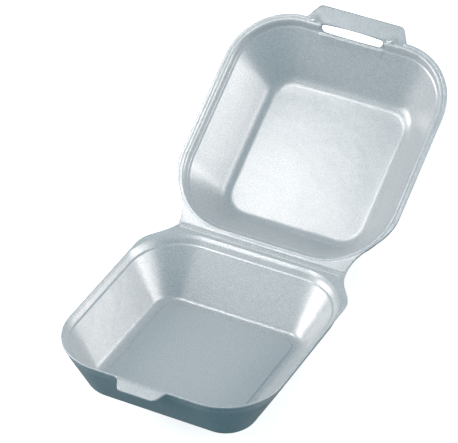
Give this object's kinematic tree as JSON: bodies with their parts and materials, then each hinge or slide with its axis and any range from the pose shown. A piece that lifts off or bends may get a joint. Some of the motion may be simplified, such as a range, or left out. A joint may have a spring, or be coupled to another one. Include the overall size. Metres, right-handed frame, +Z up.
{
  "type": "foam clamshell container",
  "caption": "Hinged square foam food box standing open, with a tray, a lid of like depth, a drooping locking tongue, a lock slot and a grip tab.",
  "frame": {"origin": "on the ground, under the middle of the open box", "axes": "+X along the crease, to the right of someone facing the tray's front; +Y from the tray's front towards the lid; +Z up"},
  "size_m": [0.1246, 0.252, 0.0577],
  "materials": {
    "foam": "satin moulded foam with a fine grain"
  },
  "bodies": {
    "tray": {"tray": "foam"},
    "lid": {"lid": "foam"}
  },
  "joints": [
    {"name": "lid_hinge", "type": "hinge", "parent": "tray", "child": "lid", "pos_m": [0, -0.0046, 0.01961], "axis": [1, 0, 0], "range_deg": [-32, 148]}
  ]
}
